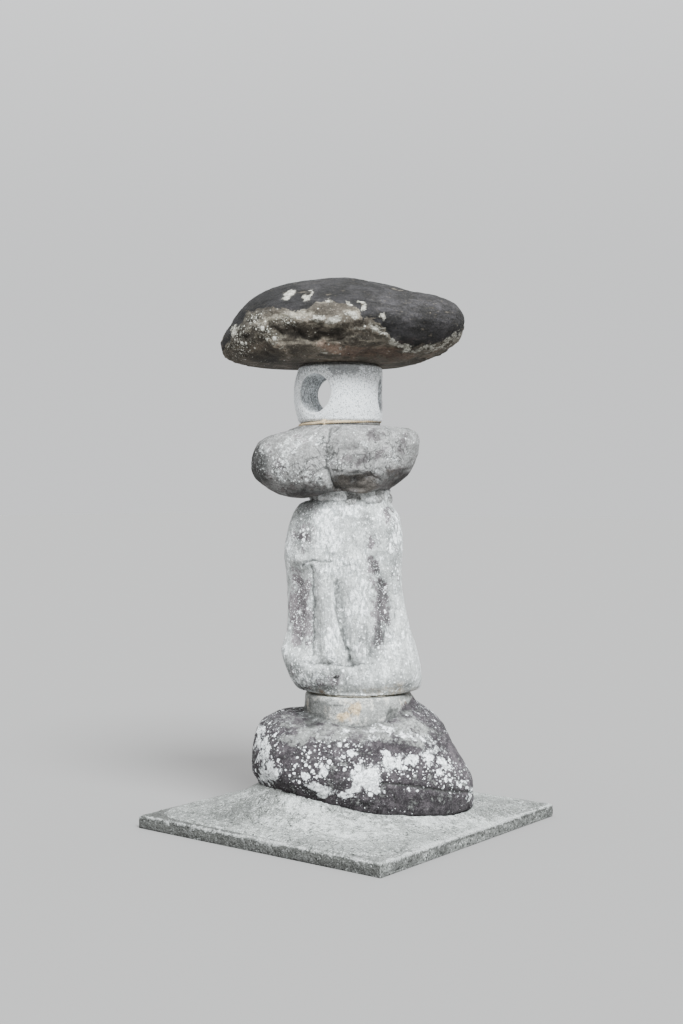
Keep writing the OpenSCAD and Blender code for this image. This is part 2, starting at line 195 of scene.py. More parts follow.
def chips(points, size, seed):
    """Broken faces: scattered cells about size across, each a plane with its own slope, between
    about -0.5 and 0.5."""
    warp = [ripple(points, size * 0.8, seed + k) for k in range(3)]
    places = (points + 0.25 * size * np.column_stack(warp)) / size + seed * np.array([5.3, 11.9, 7.7])
    low = np.floor(places).astype(int)
    nearest = np.full(len(points), 9.0)
    which = np.zeros(len(points), int)
    way = np.zeros((len(points), 3))
    for step in np.ndindex(3, 3, 3):
        cell = low + np.array(step) - 1
        number = number_of(cell)
        gap = places - cell - SCATTER[number]
        distance = np.linalg.norm(gap, axis=1)
        closer = distance < nearest
        nearest[closer] = distance[closer]
        which[closer] = number[closer]
        way[closer] = gap[closer]
    return (way * SLOPES[which]).sum(axis=1)


def ease(start, end, value):
    """0 at start and 1 at end, with a smooth rise or fall between them."""
    share = np.clip((value - start) / (end - start), 0, 1)
    return share * share * (3 - 2 * share)


# Marks that are placed where the photograph shows them. A blob is its middle, its half width and
# half height in pixels and, where it leans, its turn in degrees.


def near_line(places, line, width):
    """1 on a line of photograph pixels, falling to 0 at width pixels from it."""
    nearest = np.full(len(places), 1e9)
    for start, end in zip(line[:-1], line[1:]):
        start, span = np.array(start, float), np.subtract(end, start).astype(float)
        share = np.clip((places - start) @ span / (span @ span), 0, 1)
        nearest = np.minimum(nearest, np.linalg.norm(places - start - share[:, None] * span, axis=1))
    return np.clip(1 - nearest / width, 0, 1)


def in_blob(places, x, y, wide, tall, turn=0):
    """1 in the middle of an ellipse in the photograph, 0 at its edge and below 0 beyond."""
    right, down = (places - (x, y)).T
    c, s = math.cos(math.radians(turn)), math.sin(math.radians(turn))
    return 1 - np.hypot((c * right + s * down) / wide, (c * down - s * right) / tall)


def store(mesh, name, values):
    """Stores a number for each point of a mesh, for its material to read."""
    layer = mesh.attributes.new(name, "FLOAT", "POINT")
    layer.data.foreach_set("value", np.full(len(mesh.vertices), values, np.float32))


class Sculpture:
    """A copy of a CAD node as one fine mesh, to be pushed about and given attributes."""

    def __init__(self, name, node, grain, soften=4, reshape=None):
        solid = bpy.data.objects[node].data
        points = [vertex.co[:] for vertex in solid.vertices]
        faces = [list(polygon.vertices) for polygon in solid.polygons]
        mesh = bpy.data.meshes.new(name)
        mesh.from_pydata(reshape(points) if reshape else points, [], faces)
        self.thing = add(name, mesh)
        remesh = self.thing.modifiers.new("grain", "REMESH")
        remesh.mode = "VOXEL"
        remesh.voxel_size = grain
        smooth = self.thing.modifiers.new("soften", "SMOOTH")
        smooth.iterations = soften
        self.mesh = bpy.data.meshes.new_from_object(
            self.thing.evaluated_get(bpy.context.evaluated_depsgraph_get()))
        self.thing.modifiers.clear()
        self.thing.data = self.mesh
        self.mesh.name = name
        bpy.data.meshes.remove(mesh)
        self.count = len(self.mesh.vertices)
        self.read()
        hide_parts(node)
        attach(self.thing, "root")
        self.low, self.high = np.array(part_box(node))

    def lift(self):
        """How high each point lies in its node's box: 0 at the foot and 1 at the top."""
        return (self.points[:, 2] - self.low[2]) / (self.high[2] - self.low[2])

    def rough(self, size, octaves, seed, squeeze=1):
        """Noise at each point, drawn out along each axis where squeeze is below 1."""
        return rough(self.points * squeeze, size, octaves, seed)

    def hollows(self, rounds):
        """How far each point lies below its surroundings, in metres: above 0 in a hollow."""
        edges = np.zeros(len(self.mesh.edges) * 2, np.int32)
        self.mesh.edges.foreach_get("vertices", edges)
        ends = np.concatenate((edges[::2], edges[1::2]))
        others = np.concatenate((edges[1::2], edges[::2]))
        number = np.bincount(ends, minlength=self.count)[:, None]
        calm = self.points
        for _ in range(rounds):
            calm = np.column_stack([np.bincount(ends, calm[others, k], self.count)
                                    for k in range(3)]) / number
        return ((calm - self.points) * self.normals).sum(axis=1)

    def read(self):
        """Reads the points and normals back, in the stack's frame."""
        flat = np.zeros(self.count * 3)
        self.mesh.vertices.foreach_get("co", flat)
        self.points = to_stack(flat.reshape(-1, 3))
        self.mesh.vertex_normals.foreach_get("vector", flat)
        self.normals = to_stack(flat.reshape(-1, 3))
        sight = EYE - self.points
        sight /= np.linalg.norm(sight, axis=1)[:, None]
        self.facing = ease(-0.05, 0.25, (self.normals * sight).sum(axis=1))
        self.places = to_photo(self.points)

    def push(self, depth):
        """Moves every point along its normal by a depth in metres."""
        self.points += self.normals * np.asarray(depth)[:, None]
        self.mesh.vertices.foreach_set("co", to_row(self.points).ravel())
        self.mesh.update()
        self.read()

    def keep(self, name, values, low=0, high=1):
        """Stores a number for each point, held between low and high."""
        store(self.mesh, name, np.clip(values, low, high))

    def dress(self, material):
        self.mesh.materials.append(material)
        self.mesh.shade_smooth()


class Paint:
    """A node material that is built up pattern by pattern. Sizes are in metres."""

    def __init__(self, name, roughness=0.92, shine=0.25):
        self.material = bpy.data.materials.new(name)
        self.material.use_nodes = True
        self.tree = self.material.node_tree
        self.shader = self.tree.nodes["Principled BSDF"]
        self.shader.inputs["Roughness"].default_value = roughness
        self.shader.inputs["Specular IOR Level"].default_value = shine
        self.place = self.node("TexCoord").outputs["Object"]

    def wire(self, socket, value):
        if isinstance(value, bpy.types.NodeSocket):
            self.tree.links.new(value, socket)
        elif isinstance(value, tuple) and socket.type == "RGBA":
            socket.default_value = (*value, 1)
        else:
            socket.default_value = value

    def node(self, kind, **values):
        """A node of this kind, with its inputs wired or set by name."""
        node = self.tree.nodes.new("ShaderNode" + kind)
        for name, value in values.items():
            self.wire(node.inputs[name.replace("_", " ")], value)
        return node

    def sum(self, operation, *values):
        node = self.node("Math")
        node.operation = operation
        for socket, value in zip(node.inputs, values):
            self.wire(socket, value)
        return node.outputs[0]

    def scaled(self, value, factor, offset=0):
        return self.sum("MULTIPLY_ADD", value, factor, offset)

    def stretched(self, stretch):
        """The place, squeezed so that patterns come out stretched by these amounts."""
        node = self.node("VectorMath")
        node.operation = "DIVIDE"
        self.wire(node.inputs[0], self.place)
        self.wire(node.inputs[1], stretch)
        return node.outputs[0]

    def noise(self, size, octaves, roughness, warp=0, place=None):
        return self.node("TexNoise", Vector=place or self.place, Scale=1 / size, Detail=octaves,
                         Roughness=roughness, Distortion=warp).outputs["Fac"]

    def cells(self, size):
        """Scattered points about size apart: the distance from the nearest in shares of size,
        and a number from 0 to 1 that it has drawn."""
        node = self.node("TexVoronoi", Vector=self.place, Scale=1 / size)
        split = self.node("SeparateColor", Color=node.outputs["Color"])
        return node.outputs["Distance"], split.outputs[0]

    def kept(self, name):
        """A number that the sculpture stored for each point."""
        node = self.node("Attribute")
        node.attribute_name = name
        return node.outputs["Fac"]

    def step(self, value, start, end):
        """0 at start and 1 at end, with a smooth rise or fall between them."""
        node = self.node("MapRange", Value=value, From_Min=start, From_Max=end)
        node.interpolation_type = "SMOOTHSTEP"
        return node.outputs["Result"]

    def covered(self, share, noise, soft):
        """Patches that cover about this share of the surface, with the noise's ragged edges."""
        value = self.sum("ADD", share, self.scaled(noise, 4, -2))
        return self.scaled(self.step(value, 0.5 - soft, 0.5 + soft), self.step(share, 0, 0.15))

    def mix(self, share, first, second, blend="MIX"):
        node = self.node("Mix")
        node.data_type = "RGBA"
        node.blend_type = blend
        for number, value in ((0, share), (6, first), (7, second)):
            self.wire(node.inputs[number], value)
        return node.outputs[2]

    def lay(self, tone, share, strength=1):
        """Lays a tone over the colour, as thickly as share and strength say."""
        share = share if strength == 1 else self.scaled(share, strength)
        self.colour = self.mix(share, self.colour, tone)

    def shade(self, value):
        """Multiplies the colour by a value at each point."""
        self.colour = self.mix(1, self.colour, value, "MULTIPLY")

    def speckle(self, noise, edge, depth, low):
        """Multiplies the colour by low, and by depth more where the noise is high."""
        self.shade(self.scaled(self.step(noise, edge, 1 - edge), depth, low))

    def finish(self, height, depth):
        """Sets the colour, and a bump of the given depth in metres."""
        self.wire(self.shader.inputs["Base Color"], self.colour)
        bump = self.node("Bump", Strength=1, Distance=depth, Height=height)
        self.wire(self.shader.inputs["Normal"], bump.outputs["Normal"])
        return self.material


def dimmed(tone, share):
    return tuple(share * part for part in tone)


# Weathered rock: a mottled body, an older skin over part of it, stains, crusts and round
# spots of lichen, dark cracks, soiling and painted shade in its hollows, and painted light and
# shade in its kept tone

# The size of the finest grains
GRAIN = 0.0042


def rock_paint(name, body, skin, crust, spots, stain, streak=(1, 1, 1), speckle=0.75,
               fissures=0.4, skin_edge=0.09):
    """body holds three tones from dark to light, skin and crust two each, and spots two tones
    and a size. The sculpture keeps skin, crust, spots, stain, hollow and tone; the hollows are
    darkened with soiling and painted shade, and the tone holds painted light and shade."""
    paint = Paint(name)
    drawn_out = paint.stretched(streak)
    broad = paint.noise(0.16, 5, 0.62)
    patchy = paint.noise(0.05, 9, 0.72, 0.15, drawn_out)
    ragged = paint.noise(0.024, 9, 0.76, 0.5, paint.stretched((1, 1, streak[2])))
    small = paint.noise(0.012, 6, 0.72, 0, drawn_out)
    grit = paint.scaled(paint.step(paint.noise(0.6 * GRAIN, 2, 0.6), 0.6, 0.68), 0.5)
    paint.colour = paint.mix(paint.step(broad, 0.4, 0.6), body[0], body[1])
    paint.lay(body[2], paint.step(patchy, 0.5, 0.58), 0.85)
    paint.lay(body[0], paint.step(small, 0.56, 0.64), 0.6)
    paint.lay(body[2], grit)

    over = paint.mix(paint.step(patchy, 0.42, 0.62), *skin)
    over = paint.mix(paint.scaled(paint.step(small, 0.58, 0.68), 0.45), over, body[1])
    over = paint.mix(paint.scaled(grit, 0.7), over, body[1])
    paint.lay(over, paint.covered(paint.kept("skin"), patchy, skin_edge))
    paint.lay(stain, paint.covered(paint.kept("stain"), patchy, 0.4), 0.7)
    # The kept tone darkens and lightens the colour, with painted light and shade in it
    paint.shade(paint.kept("tone"))

    crusted = paint.kept("crust")
    thick = paint.covered(paint.scaled(crusted, 1, -0.1), ragged, 0.05)
    paint.lay(crust[0], paint.covered(crusted, ragged, 0.22), 0.5)
    paint.lay(paint.mix(paint.step(small, 0.42, 0.58), *crust), thick, 0.92)

    lichen = thick
    wobble = paint.scaled(ragged, 1, -0.5)
    spotted = paint.kept("spots")
    centre, rim, widest = spots
    for size in (widest, 0.45 * widest, 0.22 * widest):
        distance, lot = paint.cells(size)
        radius = paint.scaled(paint.scaled(lot, 0.66, -0.08), spotted)
        gap = paint.sum("SUBTRACT", paint.sum("ADD", distance, wobble), radius)
        spot = paint.scaled(paint.step(gap, 0.03, -0.04), paint.step(spotted, 0.02, 0.15))
        ring = paint.mix(paint.step(gap, -0.28, -0.06), centre, rim)
        paint.lay(paint.mix(paint.scaled(small, 0.5), ring, centre), spot)
        lichen = paint.sum("MAXIMUM", lichen, spot)

    dirt_and_shade = dimmed(body[0], 0.3)
    # Soiling and painted shade in the hollows
    paint.lay(dirt_and_shade, paint.kept("hollow"), 0.8)
    crossing = paint.scaled(paint.noise(0.06, 6, 0.6, 0.7, drawn_out), 1, -0.5)
    crack = paint.scaled(paint.step(paint.sum("ABSOLUTE", crossing), 0.022, 0),
                         paint.step(broad, 0.46, 0.56))
    paint.lay(dirt_and_shade, crack, fissures)
    paint.speckle(paint.noise(GRAIN, 3, 0.72), 0.3, speckle, 1 - 0.5 * speckle)
    mottle = paint.noise(2.6 * GRAIN, 3, 0.6, 0.2)
    paint.speckle(mottle, 0.36, 0.5 * speckle, 1 - 0.25 * speckle)

    height = paint.scaled(mottle, 0.4, paint.scaled(ragged, 0.9))
    height = paint.scaled(lichen, 0.12, height)
    return paint.finish(paint.scaled(crack, -0.5 * fissures, height), 0.009)


def concrete_paint(name, tones, stones, side=None):
    """Rough concrete or mortar: tones from dark to light, the size of the small stones that
    show in it, and a tone for its weathered sides, darker where wet and as painted shade.
    The sculpture keeps damp_and_shade, worn and dirt_and_shade."""
    paint = Paint(name, 0.95)
    broad = paint.noise(0.2, 7, 0.66, 0.4)
    patchy = paint.noise(0.035, 8, 0.74, 0.3)
    fine = paint.noise(0.0045, 3, 0.72)
    pit = dimmed(tones[0], 0.22)
    paint.colour = paint.mix(paint.step(broad, 0.38, 0.62), tones[0], tones[1])
    paint.lay(tones[2], paint.step(patchy, 0.52, 0.62), 0.7)
    height = paint.scaled(fine, 0.35, paint.scaled(patchy, 0.8))
    for size in (stones, 0.5 * stones):
        distance, lot = paint.cells(size)
        near = paint.step(distance, 0.5, 0.3)
        holes = paint.scaled(near, paint.step(lot, 0.72, 0.76))
        pebbles = paint.scaled(near, paint.step(lot, 0.34, 0.3))
        paint.lay(pit, holes, 0.75)
        paint.lay(tones[2], pebbles, 0.65)
        height = paint.scaled(pebbles, 0.15, paint.scaled(holes, -0.35, height))
    # Wet patches and painted shade: darker sides and shaded patches
    paint.lay(side or dimmed(tones[0], 0.4), paint.covered(paint.kept("damp_and_shade"), patchy, 0.3), 0.76)
    paint.lay(tones[2], paint.covered(paint.kept("worn"), patchy, 0.2), 0.55)
    paint.speckle(fine, 0.32, 1, 0.52)
    # Darker in hollows: soiling and painted shade
    paint.lay(pit, paint.kept("dirt_and_shade"), 0.6)
    return paint.finish(height, 0.009)


GRANITE_TONES = ((0.84, 0.875, 0.9), (0.93, 0.96, 0.98))
GRANITE_FLECK = (0.15, 0.16, 0.17)
GRANITE_WHITE = (0.88, 0.89, 0.89)
GRANITE_GRIME = (0.17, 0.178, 0.182)
CHISELLED_SHADE_TONE = (0.14, 0.145, 0.145)
GRANITE_DIRT_AND_SHADE = (0.2, 0.2, 0.19)
GRANITE_EDGE = (0.84, 0.85, 0.85)


def granite_paint():
    """Pale granite, bush-hammered, with dark flecks, dark stains under the cap, pale edges, soiling and
    painted shade in its hollows, and painted shade in dark chisel strokes on the windows' inner faces.
    """
    paint = Paint("granite_paint", 0.85)
    mottle = paint.noise(0.02, 6, 0.7)
    fine = paint.noise(0.0045, 3, 0.75)
    strokes = paint.noise(0.009, 3, 0.6, 0, paint.stretched((1, 1, 3.5)))
    paint.colour = paint.mix(paint.step(mottle, 0.36, 0.64), *GRANITE_TONES)
    for size in (0.0068, 0.0045):
        distance, lot = paint.cells(size)
        near = paint.step(distance, 0.5, 0.28)
        paint.lay(GRANITE_FLECK, paint.scaled(near, paint.step(lot, 0.66, 0.7)), 0.78)
        paint.lay(GRANITE_WHITE, paint.scaled(near, paint.step(lot, 0.2, 0.16)), 0.6)
    specks = paint.noise(0.008, 5, 0.78, 0.2)
    paint.lay(GRANITE_GRIME, paint.covered(paint.kept("stain"), specks, 0.25), 0.75)
    # Dark chisel strokes on the windows' inner faces: painted shade inside the windows
    chiselled_shade = paint.scaled(paint.step(strokes, 0.47, 0.6), paint.kept("inside"))
    paint.lay(CHISELLED_SHADE_TONE, chiselled_shade, 0.8)
    # Soiling and painted shade in the hollows
    paint.lay(GRANITE_DIRT_AND_SHADE, paint.kept("hollow"), 0.5)
    paint.lay(GRANITE_EDGE, paint.kept("worn"), 0.5)
    paint.speckle(fine, 0.32, 0.5, 0.8)
    height = paint.scaled(fine, 0.8, paint.scaled(strokes, 0.6, paint.scaled(mottle, 0.5)))
    return paint.finish(height, 0.005)


STRAW_TONES = ((0.4, 0.29, 0.17), (0.62, 0.5, 0.33))
STRAW_LIGHT = (0.82, 0.72, 0.53)


def straw_paint():
    paint = Paint("straw_paint", 0.8)
    fibre = paint.noise(0.002, 3, 0.7, 0, paint.stretched((1, 1, 0.4)))
    paint.colour = paint.mix(paint.step(paint.noise(0.03, 3, 0.6), 0.35, 0.65), *STRAW_TONES)
    paint.lay(STRAW_LIGHT, paint.step(fibre, 0.5, 0.62), 0.7)
    return paint.finish(fibre, 0.0012)


def dent(rock, blob):
    """1 in an ellipse of the photograph, falling to 0 at its edge, on the side seen there."""
    return ease(0, 0.9, in_blob(rock.places, *blob)) * rock.facing


def carved(rock, lines, wander):
    """Grooves or folds along lines of the photograph, on the side seen there. Each has its
    line, its width in pixels and its depth in metres."""
    return sum(depth * near_line(rock.places + wander, line, width) ** 1.5 * rock.facing
               for line, width, depth in lines)


def patches(rock, blobs, wander=0):
    """How deep each point lies in the ellipses of the photograph: 1 in a middle, 0 outside."""
    depth = np.zeros(rock.count)
    for blob in blobs:
        depth = np.maximum(depth, in_blob(rock.places + wander, *blob))
    return ease(0, 0.6, depth)


def drift(rock, reach, seed):
    """How far marks drift from where they are drawn, in photograph pixels."""
    stray = [rough(rock.points, 0.05, 5, seed + k, 0.65) for k in (0, 3)]
    return np.column_stack(stray) * reach


def seen_or(rock, seen, unseen):
    """Marks from the photograph where it shows the stone, and noise around the back."""
    return np.clip(rock.facing * seen + (1 - rock.facing) * unseen, 0, 1)


# Stores how deep each point lies in a hollow, which the paint darkens with soiling and painted shade
def keep_hollows(rock, rounds=6, depth=0.0035):
    rock.keep("hollow", ease(0.0003, depth, rock.hollows(rounds)))


# Stores how deep each point lies in a hollow, which the paint darkens with soiling and painted shade
def keep_dirt_and_shade(body, depth=0.003):
    body.keep("dirt_and_shade", ease(0.0005, depth, body.hollows(6)))


def keep_tone_and_shade(rock, tone, depth=0.4):
    """Stores how bright the stone is, with the painted light and shade that the caller puts in the
    tone, and painted shade in its broad hollows.
    """
    broad = ease(0.0005, 0.009, rock.hollows(50))
    rock.keep("tone", tone - depth * broad, 0.3, 2)


# The cap

CAP_SKIN_EDGE = [(222, 352), (230, 340), (238, 324), (248, 313), (262, 307), (281, 307), (293, 310),
                 (308, 309), (316, 300), (330, 300), (345, 304), (360, 309), (362, 320), (381, 322),
                 (384, 333), (391, 338), (401, 344), (414, 347), (436, 344), (447, 339), (462, 334)]
CAP_WHITE = [(288, 295.5, 10.5, 5.5, -30), (234.3, 331, 3, 10, 8), (333, 320, 12, 6, -15)]
CAP_PATCHES = [(308, 297, 10.5, 5, -42), (329, 300.5, 8, 4, 15), (348.5, 304.5, 5, 3.5, -20),
               (361, 306, 3.5, 6, -15), (383.5, 316.5, 2.5, 4), (374, 328, 16, 5, 8),
               (384, 335, 9, 3.5, 25), (352, 315, 12, 5, 4), (318, 318, 10, 6)]
# Pale brown zones, and a painted highlight on the lit bulge of the underside
CAP_BEIGE_AND_LIT = [(301, 317, 24, 9, 4), (333, 320, 16, 9, -12), (352, 315, 14, 6, 4), (366, 331, 26, 7, 6),
             (329, 349, 24, 11, 6), (279, 346, 22, 5, 40), (262, 322, 8, 5, -30)]
# Dark marks, and painted shadow in the hollow under the ridge and along the underside
CAP_DARK_AND_SHADOWED = [(305, 336, 24, 8), (342, 332, 20, 4, -8), (266, 358, 26, 8, 8), (329, 307, 4, 3.5),
            (369, 317, 6, 4, 20), (330, 366, 60, 4)]
CAP_SHADED = [(268, 299, 46, 16, -14), (240, 318, 14, 18, 30)]
CAP_SMOOTH = [(426, 318, 46, 30, 10), (384, 302, 24, 12, 8)]
CAP_RED = [(352, 352, 34, 7, 6), (384, 354, 40, 8, 2), (330, 346, 16, 6)]
CAP_FRINGE = [(392, 341), (400, 346), (414, 349.5), (430, 349), (446, 344), (461, 333)]
CAP_MOTTLE = [(240, 342, 16, 24, 12), (256, 322, 16, 12, -40), (270, 335, 18, 12, 40),
              (290, 320, 20, 8)]
CAP_CHIP = (428, 304, 10, 6, 20)
CAP_FOLDS = [([(262, 330), (272, 342), (284, 352), (295, 359)], 6, 0.01),
             ([(258, 312), (266, 320), (263, 330)], 5, 0.007),
             ([(286, 313), (300, 322), (318, 326), (330, 327), (346, 324), (360, 319)], 5, 0.008),
             ([(344, 333), (356, 329), (372, 328), (384, 335), (396, 342)], 4.5, 0.007),
             ([(300, 334), (314, 340), (330, 341), (345, 338)], 5, -0.008),
             ([(268, 326), (282, 333), (300, 330)], 5, -0.008),
             ([(404, 347), (424, 350), (444, 346), (458, 336)], 4, 0.006)]
CAP_TONES = dict(
    body=((0.052, 0.044, 0.035), (0.1, 0.086, 0.068), (0.17, 0.154, 0.122)),
    skin=((0.009, 0.0085, 0.0085), (0.024, 0.0225, 0.024)),
    crust=((0.24, 0.23, 0.195), (0.46, 0.445, 0.39)),
    spots=((0.4, 0.39, 0.34), (0.56, 0.55, 0.49), 0.03), stain=(0.105, 0.066, 0.048),
    streak=(2.2, 2.2, 0.8))


def cap():
    rock = Sculpture("cap_rock", "cap_stone", grain=0.0066)
    lift = rock.lift()
    wander = drift(rock, (4, 3), 2)
    edge = np.interp(rock.places[:, 0], *zip(*CAP_SKIN_EDGE))
    seen = ease(-1.5, 1.5, edge - rock.places[:, 1] + wander[:, 1])
    unseen = ease(0.4, 0.48, lift + 0.08 * rock.rough(0.18, 4, 5))
    skin = seen_or(rock, seen, unseen)

    settle = ease(0, 0.05, lift)
    strata = (1 - np.abs(rock.rough(0.05, 4, 7, [0.35, 0.35, 1]))) ** 2
    rock.push(settle * (0.005 * rock.rough(0.2, 3, 1) + 0.003 * skin - 0.006
                        + (1 - skin) * 0.008 * strata))
    rock.push(settle * (0.0016 * rock.rough(0.03, 4, 9)
                        + (1 - skin) * 0.005 * chips(rock.points, 0.07, 4)
                        + carved(rock, CAP_FOLDS, drift(rock, (4, 3), 2))
                        - 0.004 * dent(rock, CAP_CHIP)))

    wander = drift(rock, (5, 4), 14)
    white = patches(rock, CAP_WHITE, 0.5 * wander)
    pale = np.maximum(white, patches(rock, CAP_PATCHES, 0.7 * wander))
    beige_and_lit = patches(rock, CAP_BEIGE_AND_LIT, wander)
    dark = patches(rock, CAP_DARK_AND_SHADOWED, wander)
    fringe = near_line(rock.places + wander, CAP_FRINGE, 5) * rock.facing
    mottle = patches(rock, CAP_MOTTLE, wander)
    # Undersides, darkened in the tone as painted shade
    under = ease(-0.1, -0.8, rock.normals[:, 2])
    rim = ease(0.14, 0.02, np.abs(lift - 0.4 + 0.1 * rock.rough(0.2, 3, 12)))
    rock.keep("skin", skin * 1.15 - 0.9 * pale)
    crust = np.maximum.reduce([white, 0.76 * pale, 0.9 * fringe, 0.22 * mottle, 0.3 * beige_and_lit])
    rock.keep("crust", seen_or(rock, crust * (1 - 0.5 * dark), 0.5 * rim))
    rock.keep("spots", (1 - skin) * 0.15 + 0.5 * mottle)
    rock.keep("stain", 0.65 * patches(rock, CAP_RED, wander) + 0.2 * ease(0.3, 0.05, lift))
    # Brightness: the cap's own tones, a painted highlight on the underside's bulge, and painted shade
    # in the shadowed marks, on undersides and on the shaded left
    keep_tone_and_shade(rock, 0.96 + 0.9 * beige_and_lit - 0.4 * dark - 0.15 * under * (1 - beige_and_lit) - 0.4 * mottle
              + 0.6 * patches(rock, CAP_SMOOTH) - 0.55 * patches(rock, CAP_SHADED) * (1 - pale)
              + 0.25 * rock.rough(0.05, 4, 15, [0.5, 0.5, 1]), 0.3)
    keep_hollows(rock, 8, 0.005)
    rock.dress(rock_paint("cap_paint", **CAP_TONES))


# The platform

PLATFORM_GROOVES = [([(332, 426), (329.7, 435), (328, 446), (326.7, 459), (327.3, 466.4),
                      (330.3, 477.3), (337, 490)], 1.9, 0.007),
                    ([(327, 468), (318, 472), (306, 470), (298, 476)], 1.6, 0.004),
                    ([(334, 471), (342, 473), (356, 472.5), (370, 475), (380, 480)], 1.6, 0.003),
                    ([(336, 468), (350, 468.5), (366, 470), (382, 474)], 4, -0.002)]
PLATFORM_PALE = [(281, 460, 13, 18), (291, 446, 18, 10), (334, 461, 7, 8), (366, 443, 8, 5, 20),
                 (300, 478, 34, 9), (262, 448, 8, 5, -30), (392, 457, 9, 12, 10), (318, 440, 12, 10)]
PLATFORM_SWELL = (356, 484, 20, 9, 4)
# The left end, darkened as painted shade
PLATFORM_SHADED_END = [(250, 465, 26, 34, -8)]
# The undercut flat under the right lobe: dark brown of its own, and darker as painted shade
PLATFORM_FACET = [(354, 484, 30, 15, 4)]
PLATFORM_LIT = [(298, 447, 36, 18, -12), (388, 455, 14, 18, 10), (350, 434, 30, 9)]
# Dark marks, with painted shade on the undercut facet, the underside and the left end
PLATFORM_DARK_AND_SHADED = [(278.5, 464, 4, 13), (376, 434, 9, 8), (404, 442, 5, 18, 14), (353, 484, 26, 10, 4),
                 (402, 480, 22, 9, -38), (253, 464, 7, 20, -8), (310, 494, 32, 7, 3),
                 (366, 458, 34, 8, -6), (352, 446, 16, 5, -20)]
PLATFORM_TONES = dict(
    body=((0.15, 0.148, 0.144), (0.211, 0.209, 0.204), (0.31, 0.308, 0.302)),
    skin=((0.094, 0.085, 0.086), (0.14, 0.129, 0.131)),
    crust=((0.31, 0.32, 0.315), (0.68, 0.695, 0.69)),
    spots=((0.64, 0.66, 0.655), (0.82, 0.84, 0.835), 0.028), stain=(0.12, 0.107, 0.09), speckle=0.65,
    fissures=0.75)


def platform():
    rock = Sculpture("platform_rock", "platform_stone", grain=0.0055)
    lift = rock.lift()
    settle = ease(1, 0.96, lift) * ease(0.1, 0.2, lift)
    wander = drift(rock, (1.4, 0.9), 3)
    rock.push(settle * 0.004 * rock.rough(0.15, 3, 21))
    rock.push(settle * (0.0018 * rock.rough(0.03, 4, 24) + 0.003 * chips(rock.points, 0.1, 5)
                        - carved(rock, PLATFORM_GROOVES, wander)
                        + 0.008 * dent(rock, PLATFORM_SWELL)))
    wander = drift(rock, (6, 4), 23)
    under = ease(-0.15, -0.75, rock.normals[:, 2])
    pale = patches(rock, PLATFORM_PALE, wander)
    dark = patches(rock, PLATFORM_DARK_AND_SHADED, wander)
    back = 0.5 + 0.5 * rock.rough(0.15, 3, 27)
    facet = patches(rock, PLATFORM_FACET)
    rock.keep("skin", np.maximum.reduce([seen_or(rock, 0.36 * dark + 0.14, 0.35 * back),
                                         0.5 * under, 0.9 * facet]))
    rock.keep("crust", seen_or(rock, 0.2 + 0.34 * pale - 0.3 * dark - 0.3 * under - 0.3 * facet,
                               0.35 * back - 0.3 * under))
    rock.keep("spots", seen_or(rock, 0.22 + 0.38 * pale - 0.2 * under - 0.2 * facet, 0.6 * back))
    rock.keep("stain", 0.2 * under + 0.7 * facet)
    shaded_left_end = patches(rock, PLATFORM_SHADED_END) * (0.3 + 0.7 * rock.facing)
    # Brightness: painted light on the lit patches, and painted shade on undersides, in the shaded marks
    # and at the left end
    keep_tone_and_shade(rock, 1.08 + 0.25 * patches(rock, PLATFORM_LIT, wander) - 0.27 * under - 0.35 * dark
              - 0.85 * shaded_left_end + 0.1 * facet + 0.25 * rock.rough(0.07, 4, 28))
    keep_hollows(rock)
    rock.dress(rock_paint("platform_paint", **PLATFORM_TONES))


# The shaft

SHAFT_GROOVES = [([(335.6, 594), (337, 611), (340, 625), (343, 636)], 2.6, 0.005),
                 ([(342, 630), (344, 640), (346.5, 648), (350, 660)], 3, 0.008),
                 ([(386, 595), (388.5, 612), (387, 626), (382, 640)], 3, 0.003),
                 ([(299, 663), (323, 664), (350, 666), (372, 664)], 3.5, 0.006),
                 ([(303, 566), (306, 562.5), (316, 561), (331, 561.5)], 2.2, 0.008),
                 ([(311.5, 566), (313, 600), (313.5, 655)], 3.5, 0.01),
                 ([(364, 553), (372, 563), (380, 574), (384, 590)], 4, 0.002)]
SHAFT_SWELLS = [([(327, 575), (326, 600), (326, 655)], 11, 0.009),
                ([(352, 562), (362, 590), (360, 620), (354, 650)], 13, 0.008),
                ([(340, 566), (354, 560), (364, 566), (372, 584)], 7, 0.006),
                ([(300, 572), (299, 612), (300, 652)], 13, -0.016),
                ([(370, 560), (379, 575), (383, 592), (384, 615), (380, 642)], 10, -0.008),
                ([(400, 600), (403, 640), (404, 670)], 12, 0.006)]
SHAFT_DENTS = [((335.6, 678.5, 5, 2.6, -20), 0.012), ((400, 696, 10, 3), 0.004),
               ((301, 506, 9, 10, 20), 0.004), ((284, 648, 5, 4), -0.004)]
SHAFT_RUST = [(392, 688, 24, 12)]
SHAFT_WHITE = [(327, 530, 20, 32), (347, 508, 22, 10), (360, 600, 13, 26, 6), (333, 645, 9, 26),
               (360, 650, 10, 14), (283, 651, 8, 7), (392, 640, 7, 22, -12), (395, 530, 9, 40),
               (340, 568, 20, 14), (310, 680, 26, 10), (380, 560, 6, 5), (288, 545, 6, 14)]
